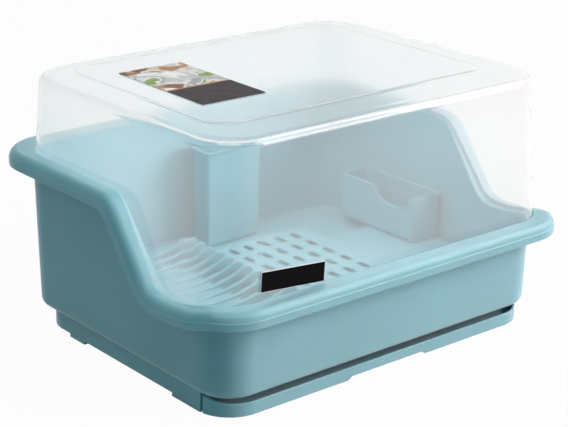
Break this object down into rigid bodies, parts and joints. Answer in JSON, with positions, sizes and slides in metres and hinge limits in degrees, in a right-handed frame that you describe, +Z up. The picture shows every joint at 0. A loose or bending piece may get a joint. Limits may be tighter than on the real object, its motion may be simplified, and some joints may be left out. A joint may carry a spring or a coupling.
{
  "type": "dish drainer",
  "caption": "Covered dish drainer: a plastic tub with a low front and a high back, a clear lift-off lid, a plate rack, cutlery and utensil boxes and a slide-out drip tray",
  "frame": {"origin": "under the middle of the tub's rim, on the surface that the drainer stands on", "axes": "+X along the long front to the right, +Y from front to back, +Z up"},
  "size_m": [0.52, 0.4228, 0.296],
  "materials": {
    "teal_plastic": "satin",
    "clear_plastic": "clear",
    "label_paper": "printed, coated",
    "black_plate": "black"
  },
  "bodies": {
    "tub": {"tub": "teal_plastic"},
    "tray": {"drip_tray": "teal_plastic"},
    "rack": {"plate_rack": "teal_plastic"},
    "cutlery": {"cutlery_box": "teal_plastic"},
    "utensils": {"utensil_box": "teal_plastic"},
    "lid": {"lid": "clear_plastic", "lid_label": "label_paper", "front_plate": "black_plate"}
  },
  "joints": [
    {"name": "tray_slide", "type": "slide", "parent": "tub", "child": "tray", "axis": [0, -1, 0], "range_m": [0, 0.36]},
    {"name": "lid_lift", "type": "slide", "parent": "tub", "child": "lid", "axis": [0, 0, 1], "range_m": [0, 0.12]},
    {"name": "rack_lift", "type": "slide", "parent": "tub", "child": "rack", "axis": [0, 0, 1], "range_m": [0, 0.05]},
    {"name": "cutlery_lift", "type": "slide", "parent": "rack", "child": "cutlery", "axis": [0, 0, 1], "range_m": [0, 0.06]},
    {"name": "utensil_lift", "type": "slide", "parent": "rack", "child": "utensils", "axis": [0, 0, 1], "range_m": [0, 0.06]}
  ]
}
